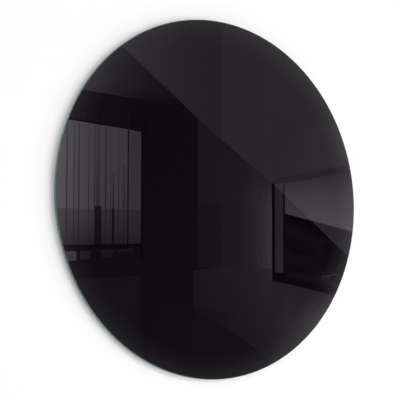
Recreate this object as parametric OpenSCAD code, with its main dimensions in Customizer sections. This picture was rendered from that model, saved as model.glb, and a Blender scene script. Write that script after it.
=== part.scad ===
// Round wall mirror without a frame, hung on two eccentric wall hooks.
// The wall is the plane Y = 0 and the mirror faces -Y. The origin lies on the wall,
// midway between the two wall screws, and +Z is up.

/* [Glass disc] */
// Diameter of the disc
disc_d = 600; // [500:10:900]
// Thickness of the glass
glass_t = 6; // [4:0.5:8]
// Width of the polished arris on the front and back edges
arris = 1; // [0.4:0.1:1.5]

/* [Layers behind the glass] */
// Thickness drawn for the dark reflecting coat
coat_t = 0.1; // [0.1:0.05:0.3]
// Thickness drawn for the backing paint
paint_t = 0.15; // [0.1:0.05:0.3]
// Thickness of the safety film
film_t = 0.3; // [0.15:0.05:0.5]
// Bare rim left around the safety film
film_inset = 4; // [2:1:15]

/* [Wall screws and plugs] */
// Distance between the two wall screws
screw_spacing = 300; // [200:10:360]
// Diameter of the screw
screw_d = 4.5; // [3.5:0.25:6]
// Length of the screw under its head
screw_len = 50; // [40:5:70]
// Length of the screw's point
screw_tip = 6; // [4:0.5:9]
// Diameter of the pan head
head_d = 9; // [8:0.5:11]
// Height of the pan head
head_h = 3.1; // [2.4:0.1:4]
// Radius of the head's domed top
head_dome = 7; // [6:0.5:10]
// Width of the cross recess
cross_w = 1.1; // [0.8:0.1:1.4]
// Span of the cross recess
cross_span = 4.8; // [4:0.2:6]
// Depth of the cross recess
cross_deep = 1.7; // [1:0.1:2]
// Diameter of the washer
washer_d = 12; // [10:0.5:14.5]
// Thickness of the washer
washer_t = 1; // [0.8:0.1:1.6]
// Diameter of the wall plug
plug_d = 8; // [8:0.5:12]
// Length of the wall plug
plug_len = 40; // [30:5:60]
// Length of the plug's tapered nose
plug_nose = 4; // [3:0.5:6]
// Depth of the plug's retaining grooves
plug_groove = 0.4; // [0.2:0.1:0.6]
// Width of one retaining groove
plug_groove_w = 1.6; // [1:0.2:2.4]
// Number of retaining grooves
plug_grooves = 6; // [3:1:8]
// Width of the slot that lets the plug spread
plug_slot_w = 1.2; // [0.8:0.1:2]
// Gap between the plug's mouth and the wall plane
plug_recess = 0.3; // [0.3:0.1:2]

/* [Eccentric hooks] */
// Diameter of the two flanges
flange_d = 32; // [30:1:40]
// Diameter at the bottom of the groove
groove_d = 26; // [22:0.5:32]
// Distance from the screw to the centre of the flanges
offset_r = 4; // [2:0.5:5]
// Thickness of the flange on the wall
rear_t = 2.5; // [2:0.25:4]
// Width of the groove
groove_w = 2.5; // [2:0.25:4]
// Thickness of the front flange
front_t = 2; // [2:0.25:3]
// Chamfer on the flanges
flange_chamfer = 0.4; // [0.2:0.1:0.6]
// Number of finger grips around the front flange
grips = 16; // [8:1:24]
// Radius of one finger grip
grip_r = 2.5; // [2:0.25:4]
// How deep a finger grip cuts into the flange
grip_deep = 0.9; // [0.4:0.1:1.4]
// Depth of the relief behind the hook, around the mouth of the wall plug
relief_deep = 0.5; // [0.3:0.1:1]

/* [Hanger plates] */
// Thickness of the sheet steel
plate_t = 1.25; // [1:0.25:2]
// How far the hanging strap stands off the rest of the plate
joggle = 3; // [2.5:0.25:5]
// Height of the hanging strap
strap_h = 12; // [8:1:20]
// Width of the steel above the strap
border_top = 14; // [10:1:25]
// Width of the steel below the window
border_low = 16; // [10:1:30]
// Width of the steel at each side of the window
border_side = 22; // [15:1:40]
// Radius of the plate's corners
plate_corner = 5; // [2:0.5:9]
// Sideways play of the hook in the window
side_play = 7; // [3:1:12]
// Distance the mirror can be lifted with the hooks in their windows
lift_travel = 12; // [8:1:25]
// Distance from the plate's outer corner to the rim of the glass
plate_margin = 23; // [15:1:40]
// Thickness of the plate's adhesive foam tape
plate_tape_t = 1; // [0.8:0.1:2]

/* [Spacers] */
// Diameter of a spacer
spacer_d = 25; // [15:1:40]
// Distance from a spacer to the rim of the glass
spacer_margin = 55; // [30:5:90]
// Angle between a spacer and the vertical, seen from the disc's centre
spacer_angle = 30; // [20:5:45]
// Thickness of the spacer's adhesive tape
spacer_tape_t = 1; // [0.8:0.1:2]
// Chamfer on the spacer where it meets the wall
spacer_chamfer = 1; // [0.5:0.5:2]

/* [Clearances] */
// Radial clearance of the screw in the hook and in the plug
run_clear = 0.05; // [0.02:0.01:0.1]
// Radial clearance of the washer on the screw
washer_clear = 0.15; // [0.1:0.05:0.3]
// Radial clearance of the washer in the hook's recess
recess_clear = 0.5; // [0.3:0.1:0.8]
// Radial clearance of the hook's relief around the wall plug
relief_clear = 0.5; // [0.3:0.1:1]
// Depth of the recess in front of the screw's head
head_clear = 0.4; // [0.2:0.1:1]
// Gap between the hanging strap and the bottom of the groove
hang_gap = 0.3; // [0.2:0.1:0.6]
// Gap kept below the hook when the mirror is lifted all the way
lift_gap = 0.5; // [0.3:0.1:1]
// Gap sheared above and below the ends of the strap
shear_gap = 0.8; // [0.5:0.1:1.5]

/* [Hidden] */
$fn = 96;

// Past the ends of a cut
past = 1;

// Radii
disc_r = disc_d / 2;
coat_r = disc_r - arris;
film_r = disc_r - film_inset;
screw_r = screw_d / 2;
plug_r = plug_d / 2;
flange_r = flange_d / 2;
groove_r = groove_d / 2;
recess_r = washer_d / 2 + recess_clear;
reach_r = flange_r + offset_r;

// Depths in front of the wall, from the hooks out to the glass
hook_front = rear_t + groove_w + front_t;
recess_floor = hook_front - washer_t - head_h - head_clear;
head_seat = recess_floor + washer_t;
strap_back = rear_t + (groove_w - plate_t) / 2;
plate_back = strap_back + joggle;
tape_back = plate_back + plate_t;
film_back = tape_back + plate_tape_t;
paint_back = film_back + film_t;
coat_back = paint_back + paint_t;
glass_back = coat_back + coat_t;

// Heights on a hanger plate, from its screw
strap_low = offset_r + groove_r + hang_gap;
strap_top = strap_low + strap_h;
window_low = -(reach_r + lift_travel + lift_gap);
plate_top = strap_top + border_top;
plate_low = window_low - border_low;

// Widths on a hanger plate, from its middle
window_half = reach_r + side_play;
strap_half = window_half + joggle;
plate_half = window_half + border_side;

// The screws lie this far above the disc's centre, so that each plate's corner keeps its margin
corner_x = screw_spacing / 2 + plate_half;
screw_rise = sqrt(pow(disc_r - plate_margin, 2) - pow(corner_x, 2)) - plate_top;

// Centre of a spacer, from the disc's centre
spacer_ring = disc_r - spacer_margin - spacer_d / 2;
spacer_x = spacer_ring * sin(spacer_angle);
spacer_z = -spacer_ring * cos(spacer_angle);

// Draws in the plane of the wall, with Z as the distance in front of it
module on_wall() {
  rotate([90, 0, 0]) children();
}

// Moves to the screw on one side, -1 for left and 1 for right
module at_screw(side) {
  translate([side * screw_spacing / 2, 0, 0]) children();
}

// Moves to the disc's centre
module at_disc() {
  translate([0, -screw_rise, 0]) children();
}

// Moves to the spacer on one side
module at_spacer(side) {
  at_disc() translate([side * spacer_x, spacer_z, 0]) children();
}

// Rectangle with round corners, between two corners
module rounded_box(low, high, r) {
  translate([low.x + r, low.y]) square([high.x - low.x - 2 * r, high.y - low.y]);
  translate([low.x, low.y + r]) square([high.x - low.x, high.y - low.y - 2 * r]);
  for (x = [low.x + r, high.x - r], y = [low.y + r, high.y - r]) translate([x, y]) circle(r);
}

// A layer that covers the back of the glass
module layer(r, back, t) {
  on_wall() at_disc() translate([0, 0, back]) cylinder(r = r, h = t);
}

module glass_disc() {
  color([0.05, 0.07, 0.07])
  on_wall() at_disc() translate([0, 0, glass_back])
  rotate_extrude() polygon([
    [0, 0],
    [disc_r - arris, 0],
    [disc_r, arris],
    [disc_r, glass_t - arris],
    [disc_r - arris, glass_t],
    [0, glass_t]
  ]);
}

module mirror_coat() {
  color([0.03, 0.03, 0.035]) layer(coat_r, coat_back, coat_t);
}

module backing_paint() {
  color([0.08, 0.08, 0.085]) layer(coat_r, paint_back, paint_t);
}

module safety_film() {
  color([0.75, 0.77, 0.78]) layer(film_r, film_back, film_t);
}

// The window that the hook stands in, with the longer slot that the strap is raised out of
module plate_window() {
  rounded_box([-window_half, window_low], [window_half, strap_low], plate_corner);
  translate([-window_half, 0]) square([2 * window_half, strap_low]);
  translate([-strap_half, strap_low - shear_gap]) square([2 * strap_half, strap_h + 2 * shear_gap]);
}

// Flat outline that the plate and its tape share
module plate_outline() {
  difference() {
    rounded_box([-plate_half, plate_low], [plate_half, plate_top], plate_corner);
    plate_window();
  }
}

// The raised strap, whose lower edge hangs in the groove of the hook
module hanging_strap() {
  end = strap_half + past;
  translate([0, strap_top, 0]) rotate([90, 0, 0])
  linear_extrude(strap_h) polygon([
    [-end, plate_back],
    [-strap_half, plate_back],
    [-window_half, strap_back],
    [window_half, strap_back],
    [strap_half, plate_back],
    [end, plate_back],
    [end, plate_back + plate_t],
    [strap_half, plate_back + plate_t],
    [window_half, strap_back + plate_t],
    [-window_half, strap_back + plate_t],
    [-strap_half, plate_back + plate_t],
    [-end, plate_back + plate_t]
  ]);
}

module hanger_plate(side) {
  color([0.72, 0.73, 0.74])
  on_wall() at_screw(side) {
    translate([0, 0, plate_back]) linear_extrude(plate_t) plate_outline();
    hanging_strap();
  }
}

module plate_tape(side) {
  color([0.9, 0.9, 0.88])
  on_wall() at_screw(side) translate([0, 0, tape_back])
  linear_extrude(plate_tape_t) plate_outline();
}

module spacer(side) {
  height = film_back - spacer_tape_t;
  r = spacer_d / 2;
  color([0.1, 0.1, 0.1])
  on_wall() at_spacer(side)
  rotate_extrude() polygon([
    [0, 0],
    [r - spacer_chamfer, 0],
    [r, spacer_chamfer],
    [r, height],
    [0, height]
  ]);
}

module spacer_tape(side) {
  color([0.9, 0.9, 0.88])
  on_wall() at_spacer(side) translate([0, 0, film_back - spacer_tape_t])
  cylinder(d = spacer_d, h = spacer_tape_t);
}

// The turned shape of the hook: a flange on the wall, the groove and the front flange
module hook_body() {
  c = flange_chamfer;
  groove_front = rear_t + groove_w;
  rotate_extrude() polygon([
    [0, 0],
    [flange_r - c, 0],
    [flange_r, c],
    [flange_r, rear_t - c],
    [flange_r - c, rear_t],
    [groove_r, rear_t],
    [groove_r, groove_front],
    [flange_r - c, groove_front],
    [flange_r, groove_front + c],
    [flange_r, hook_front - c],
    [flange_r - c, hook_front],
    [0, hook_front]
  ]);
}

module eccentric(side) {
  color([0.85, 0.85, 0.83])
  on_wall() at_screw(side)
  difference() {
    translate([0, offset_r, 0]) hook_body();
    translate([0, 0, -past]) cylinder(r = screw_r + run_clear, h = hook_front + 2 * past);
    translate([0, 0, recess_floor]) cylinder(r = recess_r, h = hook_front);
    translate([0, 0, -past]) cylinder(r = plug_r + relief_clear, h = relief_deep + past);
    translate([0, offset_r, rear_t + groove_w / 2])
    for (i = [0 : grips - 1]) rotate(i * 360 / grips)
    translate([flange_r + grip_r - grip_deep, 0, 0]) cylinder(r = grip_r, h = hook_front);
  }
}

module wall_screw(side) {
  shank = screw_len - screw_tip;
  color([0.75, 0.76, 0.78])
  on_wall() at_screw(side) {
    translate([0, 0, head_seat]) difference() {
      intersection() {
        cylinder(d = head_d, h = head_h);
        translate([0, 0, head_h - head_dome]) sphere(head_dome);
      }
      for (turn = [0, 90]) rotate(turn)
      translate([-cross_span / 2, -cross_w / 2, head_h - cross_deep])
      cube([cross_span, cross_w, head_h]);
    }
    translate([0, 0, head_seat - shank]) cylinder(r = screw_r, h = shank);
    translate([0, 0, head_seat - screw_len]) cylinder(r1 = 0, r2 = screw_r, h = screw_tip);
  }
}

module screw_washer(side) {
  color([0.75, 0.76, 0.78])
  on_wall() at_screw(side) translate([0, 0, recess_floor])
  difference() {
    cylinder(d = washer_d, h = washer_t);
    translate([0, 0, -past]) cylinder(r = screw_r + washer_clear, h = washer_t + 2 * past);
  }
}

module wall_plug(side) {
  bore_r = screw_r + run_clear;
  nose_r = (plug_r + bore_r) / 2;
  pitch = (plug_len - plug_nose) / (plug_grooves + 1);
  slot_len = plug_len - plug_nose - 2 * pitch;
  color([0.6, 0.62, 0.63])
  on_wall() at_screw(side) translate([0, 0, -plug_recess - plug_len])
  difference() {
    union() {
      cylinder(r1 = nose_r, r2 = plug_r, h = plug_nose);
      translate([0, 0, plug_nose]) cylinder(r = plug_r, h = plug_len - plug_nose);
    }
    translate([0, 0, -past]) cylinder(r = bore_r, h = plug_len + 2 * past);
    for (i = [1 : plug_grooves]) translate([0, 0, plug_nose + i * pitch - plug_groove_w / 2])
    difference() {
      cylinder(r = plug_r + past, h = plug_groove_w);
      cylinder(r = plug_r - plug_groove, h = plug_groove_w);
    }
    translate([-plug_r - past, -plug_slot_w / 2, plug_nose + pitch])
    cube([2 * (plug_r + past), plug_slot_w, slot_len]);
  }
}

glass_disc();
mirror_coat();
backing_paint();
safety_film();
hanger_plate(-1);  // hanger_plate_left
hanger_plate(1);  // hanger_plate_right
plate_tape(-1);  // plate_tape_left
plate_tape(1);  // plate_tape_right
spacer(-1);  // spacer_left
spacer(1);  // spacer_right
spacer_tape(-1);  // spacer_tape_left
spacer_tape(1);  // spacer_tape_right
eccentric(-1);  // eccentric_left
eccentric(1);  // eccentric_right
wall_screw(-1);  // wall_screw_left
wall_screw(1);  // wall_screw_right
screw_washer(-1);  // screw_washer_left
screw_washer(1);  // screw_washer_right
wall_plug(-1);  // wall_plug_left
wall_plug(1);  // wall_plug_right
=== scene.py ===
# Round dark wall mirror: glass disc, its layers, hanger plates, spacers and eccentric wall hooks.
# Everything is in metres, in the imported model's frame: the wall is y = 0 and the glass faces -y.
import math

import bmesh
import bpy
from mathutils import Matrix, Vector


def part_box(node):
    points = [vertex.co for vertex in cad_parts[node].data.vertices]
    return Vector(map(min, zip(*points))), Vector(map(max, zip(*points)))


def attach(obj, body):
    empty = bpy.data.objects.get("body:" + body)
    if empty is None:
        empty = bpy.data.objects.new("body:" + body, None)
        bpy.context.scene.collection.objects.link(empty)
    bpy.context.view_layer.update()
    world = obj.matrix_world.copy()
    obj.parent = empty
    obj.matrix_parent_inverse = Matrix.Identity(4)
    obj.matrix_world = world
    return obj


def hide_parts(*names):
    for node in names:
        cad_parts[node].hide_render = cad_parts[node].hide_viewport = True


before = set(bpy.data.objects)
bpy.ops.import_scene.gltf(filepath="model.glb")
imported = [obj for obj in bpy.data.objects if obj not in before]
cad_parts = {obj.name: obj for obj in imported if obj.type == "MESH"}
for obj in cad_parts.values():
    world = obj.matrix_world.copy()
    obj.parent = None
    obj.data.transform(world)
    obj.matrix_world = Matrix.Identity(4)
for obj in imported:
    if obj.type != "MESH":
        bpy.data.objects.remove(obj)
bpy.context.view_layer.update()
mm = 0.001
scene = bpy.context.scene


def middle(node):
    low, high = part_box(node)
    return (low + high) / 2


def halfSize(node):
    low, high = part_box(node)
    return (high - low) / 2


def depths(node):  # distance in front of the wall, from a node's back to its front
    low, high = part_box(node)
    return -high.y, -low.y


def screwAxis(side):  # where the middle of a wall screw meets the wall
    centre = middle("wall_screw_" + side)
    return Vector((centre.x, 0, centre.z))


# nodes of a finish

def newFinish(name):
    finish = bpy.data.materials.new(name)
    finish.use_nodes = True
    tree = finish.node_tree
    return finish, tree, tree.nodes["Principled BSDF"]


def place(tree, scale=(1, 1, 1), turn=0.0):  # object coordinates, stretched and turned for a pattern
    coords = tree.nodes.new("ShaderNodeTexCoord")
    mapping = tree.nodes.new("ShaderNodeMapping")
    mapping.inputs["Scale"].default_value = scale
    mapping.inputs["Rotation"].default_value = (0, turn, 0)
    tree.links.new(coords.outputs["Object"], mapping.inputs["Vector"])
    return mapping.outputs["Vector"]


def noise(tree, vector, scale, detail=4.0, rough=0.55):
    node = tree.nodes.new("ShaderNodeTexNoise")
    node.inputs["Scale"].default_value = scale
    node.inputs["Detail"].default_value = detail
    node.inputs["Roughness"].default_value = rough
    tree.links.new(vector, node.inputs["Vector"])
    return node.outputs["Fac"]


def spread(tree, value, low, high, start=0.35, end=0.65):  # a pattern's 0..1 taken to a range
    node = tree.nodes.new("ShaderNodeMapRange")
    node.inputs["From Min"].default_value = start
    node.inputs["From Max"].default_value = end
    node.inputs["To Min"].default_value = low
    node.inputs["To Max"].default_value = high
    tree.links.new(value, node.inputs["Value"])
    return node.outputs["Result"]


def blendColors(tree, value, first, second):
    node = tree.nodes.new("ShaderNodeMix")
    node.data_type = "RGBA"
    node.inputs[6].default_value = (*first, 1)
    node.inputs[7].default_value = (*second, 1)
    tree.links.new(value, node.inputs[0])
    return node.outputs[2]


def emboss(tree, shader, height, strength, distance):
    node = tree.nodes.new("ShaderNodeBump")
    node.inputs["Strength"].default_value = strength
    node.inputs["Distance"].default_value = distance
    tree.links.new(height, node.inputs["Height"])
    tree.links.new(node.outputs["Normal"], shader.inputs["Normal"])


def combine(tree, first, second, operation="ADD"):  # second is a plain number or a socket
    node = tree.nodes.new("ShaderNodeMath")
    node.operation = operation
    tree.links.new(first, node.inputs[0])
    if isinstance(second, float):
        node.inputs[1].default_value = second
    else:
        tree.links.new(second, node.inputs[1])
    return node.outputs[0]


def blendShaders(tree, share, first, second):
    node = tree.nodes.new("ShaderNodeMixShader")
    for socket, source in zip(node.inputs, (share, first, second)):
        tree.links.new(source, socket)
    return node.outputs[0]


# shaping

def turned(outline, centre, steps):
    # spins an outline of (radius, distance in front of the wall) about a line square to the wall
    bm = bmesh.new()
    verts = [bm.verts.new((centre.x + radius, -depth, centre.z)) for radius, depth in outline]
    edges = [bm.edges.new(pair) for pair in zip(verts, verts[1:])]
    bmesh.ops.spin(bm, geom=verts + edges, cent=(centre.x, 0, centre.z), axis=(0, 1, 0),
                   angle=math.tau, steps=steps, use_merge=True)
    bmesh.ops.remove_doubles(bm, verts=bm.verts, dist=1e-7)
    bmesh.ops.recalc_face_normals(bm, faces=bm.faces)
    return bm


def arc(radius, depth, r, start, end, parts=5):  # outline points round a corner, angles in degrees
    angles = [math.radians(start + (end - start) * i / parts) for i in range(parts + 1)]
    return [(radius + r * math.cos(a), depth + r * math.sin(a)) for a in angles]


def block(low, high):  # a box between two corners
    bm = bmesh.new()
    bmesh.ops.create_cube(bm, size=1)
    low, high = Vector(low), Vector(high)
    bmesh.ops.scale(bm, vec=high - low, verts=bm.verts)
    bmesh.ops.translate(bm, vec=(low + high) / 2, verts=bm.verts)
    return bm


def alongDepth(edge):
    span = edge.verts[0].co - edge.verts[1].co
    return abs(span.y) > 0.9 * span.length


def roundEdges(bm, width, segments, wanted):
    edges = [e for e in bm.edges if wanted(e)]
    bmesh.ops.bevel(bm, geom=edges, offset=width, offset_type="OFFSET", affect="EDGES",
                    segments=segments, profile=0.5, material=-1, clamp_overlap=True)


def sharperThan(degrees):
    return lambda e: len(e.link_faces) == 2 and e.calc_face_angle(0) > math.radians(degrees)


def roundedPlate(low, high, corner):
    bm = block(low, high)
    roundEdges(bm, corner, 8, alongDepth)
    return bm


def carve(body, tool):  # the body with the tool's shape taken out of it
    objects = []
    for part in (body, tool):
        mesh = bpy.data.meshes.new("carving")
        part.to_mesh(mesh)
        part.free()
        objects.append(bpy.data.objects.new("carving", mesh))
        scene.collection.objects.link(objects[-1])
    cut = objects[0].modifiers.new("cut", "BOOLEAN")
    cut.operation = "DIFFERENCE"
    cut.solver = "EXACT"
    cut.object = objects[1]
    result = bmesh.new()
    result.from_object(objects[0], bpy.context.evaluated_depsgraph_get())
    for obj in objects:
        bpy.data.objects.remove(obj)
    bmesh.ops.remove_doubles(result, verts=result.verts, dist=1e-7)
    return result


def join(first, second):
    mesh = bpy.data.meshes.new("joining")
    second.to_mesh(mesh)
    second.free()
    first.from_mesh(mesh)
    bpy.data.meshes.remove(mesh)
    return first


def makePiece(bm, name, body, finishes, nodes, smoothAngle=32):
    mesh = bpy.data.meshes.new(name)
    bm.to_mesh(mesh)
    bm.free()
    for finish in finishes:
        mesh.materials.append(finish)
    mesh.shade_smooth()
    mesh.set_sharp_from_angle(angle=math.radians(smoothAngle))
    piece = bpy.data.objects.new(name, mesh)
    scene.collection.objects.link(piece)
    even = piece.modifiers.new("evenShading", "WEIGHTED_NORMAL")  # flat faces stay flat
    even.keep_sharp = True
    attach(piece, body)
    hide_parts(*nodes)
    return piece


sides = ["left", "right"]

# glass disc

glass = {
    "arris": 1.0 * mm,        # flat ground on both edges
    "softening": 0.15 * mm,   # rounding left by the polisher on the arris
    "flatRim": 0.8 * mm,      # ring inside the arris that keeps the shading of the faces flat
    "steps": 480,
    "ior": 1.52,
    "faceTint": (0.0010, 0.0016, 0.0015),  # grey through and through, so the face reads black
    "bodyTint": (0.30, 0.72, 0.66),  # what the iron in the glass lets through
    "tintDensity": 9.0,
    "edgeIor": 1.9,           # a bright polish, richer than the face
    "edgeTint": (0.62, 1.0, 0.98),
    "edgeColor": (0.50, 0.74, 0.71),
    "edgeThrough": 0.94,      # share of light that passes the polished edge
    "groundColor": (0.10, 0.17, 0.165),
    "groundShade": (0.075, 0.14, 0.135),
}
discCentre = middle("glass_disc")
discCentre.x = 0
discRadius = -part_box("glass_disc")[0].x
glassBack, glassFront = depths("glass_disc")


def tintBody(tree):
    absorb = tree.nodes.new("ShaderNodeVolumeAbsorption")
    absorb.inputs["Color"].default_value = (*glass["bodyTint"], 1)
    absorb.inputs["Density"].default_value = glass["tintDensity"]
    tree.links.new(absorb.outputs["Volume"], tree.nodes["Material Output"].inputs["Volume"])


def glassFinish():
    finish, tree, shader = newFinish("clearGlass")
    shader.inputs["Base Color"].default_value = (*glass["faceTint"], 1)
    shader.inputs["Transmission Weight"].default_value = 1.0
    shader.inputs["IOR"].default_value = glass["ior"]
    haze = noise(tree, place(tree), 9.0)
    tree.links.new(spread(tree, haze, 0.0, 0.003), shader.inputs["Roughness"])
    tintBody(tree)
    return finish


def polishedEdgeFinish():
    finish, tree, shader = newFinish("polishedGlassEdge")
    shader.inputs["Base Color"].default_value = (*glass["edgeColor"], 1)
    shader.inputs["Transmission Weight"].default_value = glass["edgeThrough"]
    shader.inputs["IOR"].default_value = glass["edgeIor"]
    shader.inputs["Specular Tint"].default_value = (*glass["edgeTint"], 1)
    streaks = noise(tree, place(tree, (40, 900, 40)), 1.0, 3.0)
    tree.links.new(spread(tree, streaks, 0.06, 0.16), shader.inputs["Roughness"])
    tintBody(tree)
    return finish


def groundArrisFinish():
    finish, tree, shader = newFinish("groundGlassArris")
    shader.inputs["Specular Tint"].default_value = (*glass["edgeTint"], 1)
    streaks = noise(tree, place(tree, (300, 300, 300)), 1.0, 3.0)
    color = blendColors(tree, spread(tree, streaks, 0, 1), glass["groundColor"],
                        glass["groundShade"])
    tree.links.new(color, shader.inputs["Base Color"])
    tree.links.new(spread(tree, streaks, 0.25, 0.4), shader.inputs["Roughness"])
    tintBody(tree)
    return finish


def makeGlass():
    arris = glass["arris"]
    shoulder = discRadius - arris
    hold = shoulder - glass["flatRim"]
    outline = [
        (0, glassBack),
        (hold, glassBack),
        (shoulder, glassBack),
        (discRadius, glassBack + arris),
        (discRadius, glassFront - arris),
        (shoulder, glassFront),
        (hold, glassFront),
        (0, glassFront),
    ]
    bm = turned(outline, discCentre, glass["steps"])
    roundEdges(bm, glass["softening"], 3, sharperThan(30))
    for face in bm.faces:
        if abs(face.normal.y) > 0.985:
            face.material_index = 0
        elif abs(face.normal.y) < 0.2:
            face.material_index = 1
        else:
            face.material_index = 2 if face.normal.y < 0 else 3  # the paint laps the back arris
    finishes = [glassFinish(), polishedEdgeFinish(), groundArrisFinish(), backPaint]
    makePiece(bm, "glassDisc", "mirror", finishes, ["glass_disc"], 60)


# layers behind the glass

layers = {
    "bite": 0.02 * mm,         # how far the coat is bonded into the glass
    "softEdge": 0.3 * mm,
    "flatRim": 2 * mm,
    "steps": 360,
    "coatColor": (0.0003, 0.0002, 0.0003),
    "paintColor": (0.055, 0.055, 0.058),
    "paintShade": (0.085, 0.085, 0.09),
    "filmColor": (0.23, 0.25, 0.26),
    "filmShade": (0.29, 0.31, 0.32),
    "weavePitch": 1.6 * mm,
    "weaveHeight": 0.04 * mm,
}


def layerShape(node, front=0.0):
    back, face = depths(node)
    face += front
    radius = -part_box(node)[0].x
    soft = min(layers["softEdge"], (face - back) / 3)
    flat = radius - layers["flatRim"]
    outline = [
        (0, back),
        (flat, back),
        (radius - soft, back),
        (radius, back + soft),
        (radius, face - soft),
        (radius - soft, face),
        (flat, face),
        (0, face),
    ]
    return turned(outline, discCentre, layers["steps"])


def coatFinish():
    finish, tree, shader = newFinish("darkCoat")
    shader.inputs["Base Color"].default_value = (*layers["coatColor"], 1)
    shader.inputs["Specular IOR Level"].default_value = 0.0
    cloud = noise(tree, place(tree), 5.0)
    tree.links.new(spread(tree, cloud, 0.55, 0.7), shader.inputs["Roughness"])
    return finish


def paintFinish():
    finish, tree, shader = newFinish("backingPaint")
    orangePeel = noise(tree, place(tree), 420.0, 2.0)
    cloud = noise(tree, place(tree), 6.0)
    color = blendColors(tree, spread(tree, cloud, 0, 1), layers["paintColor"], layers["paintShade"])
    tree.links.new(color, shader.inputs["Base Color"])
    tree.links.new(spread(tree, cloud, 0.38, 0.5), shader.inputs["Roughness"])
    emboss(tree, shader, orangePeel, 0.3, 0.05 * mm)
    return finish


def filmFinish():
    # vinyl over a woven scrim, which shows through as a fine square grid
    finish, tree, shader = newFinish("safetyFilm")
    vector = place(tree)
    split = tree.nodes.new("ShaderNodeSeparateXYZ")
    tree.links.new(vector, split.inputs["Vector"])
    threads = []
    for axis in ("X", "Z"):
        turns = combine(tree, split.outputs[axis], math.tau / layers["weavePitch"], "MULTIPLY")
        threads.append(combine(tree, turns, 0.0, "COSINE"))
    weave = combine(tree, threads[0], threads[1], "MAXIMUM")
    cloud = noise(tree, vector, 7.0)
    tint = combine(tree, spread(tree, weave, 0, 0.6, -1, 1), spread(tree, cloud, 0, 0.4))
    color = blendColors(tree, tint, layers["filmColor"], layers["filmShade"])
    tree.links.new(color, shader.inputs["Base Color"])
    tree.links.new(spread(tree, cloud, 0.32, 0.46), shader.inputs["Roughness"])
    emboss(tree, shader, weave, 0.35, layers["weaveHeight"])
    return finish


backPaint = paintFinish()
makeGlass()
makePiece(layerShape("mirror_coat", layers["bite"]), "mirrorCoat", "mirror",
          [coatFinish()], ["mirror_coat"])
makePiece(layerShape("backing_paint"), "backingPaint", "mirror",
          [backPaint], ["backing_paint"])
makePiece(layerShape("safety_film"), "safetyFilm", "mirror",
          [filmFinish()], ["safety_film"])
print("glass, coat, paint and film")

# hanger plates and their tape

plate = {
    "corner": 5 * mm,
    "thickness": 1.25 * mm,
    "joggle": 3 * mm,          # how far the strap stands off the plate
    "strapLow": 17.3 * mm,     # hanging edge, above the screw
    "strapHeight": 12 * mm,
    "windowLow": -32.5 * mm,
    "windowHalf": 27 * mm,
    "shear": 0.8 * mm,         # gap punched above and below the strap's ends
    "root": 1.2 * mm,          # how far the strap runs into the plate
    "softEdge": 0.18 * mm,
    "bendRadius": 1.6 * mm,
    "steelColor": (0.62, 0.63, 0.64),
    "steelShade": (0.74, 0.74, 0.72),
    "tapeColor": (0.80, 0.80, 0.76),
    "tapeShade": (0.70, 0.70, 0.65),
}


def zincFinish(name, color, shade, grain, rough, metallic):
    finish, tree, shader = newFinish(name)
    shader.inputs["Metallic"].default_value = metallic
    rolled = noise(tree, place(tree, (grain, grain, 12 * grain)), 1.0, 5.0)
    cloud = noise(tree, place(tree), 60.0, 3.0)
    tree.links.new(blendColors(tree, spread(tree, cloud, 0, 1), color, shade),
                   shader.inputs["Base Color"])
    both = combine(tree, spread(tree, rolled, 0, 0.6), spread(tree, cloud, 0, 0.4))
    tree.links.new(spread(tree, both, rough[0], rough[1], 0, 1), shader.inputs["Roughness"])
    emboss(tree, shader, rolled, 0.15, 0.02 * mm)
    return finish


def foamFinish(name, color, shade):
    finish, tree, shader = newFinish(name)
    shader.inputs["Specular IOR Level"].default_value = 0.25
    vector = place(tree)
    pores = tree.nodes.new("ShaderNodeTexVoronoi")
    pores.inputs["Scale"].default_value = 2400
    tree.links.new(vector, pores.inputs["Vector"])
    cloud = noise(tree, vector, 90.0)
    tree.links.new(blendColors(tree, spread(tree, cloud, 0, 1), color, shade),
                   shader.inputs["Base Color"])
    tree.links.new(spread(tree, cloud, 0.75, 0.9), shader.inputs["Roughness"])
    emboss(tree, shader, pores.outputs["Distance"], 0.6, 0.15 * mm)
    return finish


def plateTools(screw, depth):  # what the punch takes out: the window, and the slot round the strap
    half = plate["windowHalf"]
    slotHalf = half + plate["joggle"]
    top = plate["strapLow"] + plate["strapHeight"] + plate["shear"]
    bottom = plate["strapLow"] - plate["shear"]
    low = screw + Vector((-half, -depth - 5 * mm, plate["windowLow"]))
    high = screw + Vector((half, -depth + 5 * mm, bottom + plate["corner"] * 2))
    window = roundedPlate(low, high, plate["corner"])
    slot = block(screw + Vector((-slotHalf, -depth - 5 * mm, bottom)),
                 screw + Vector((slotHalf, -depth + 5 * mm, top)))
    return window, slot


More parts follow.
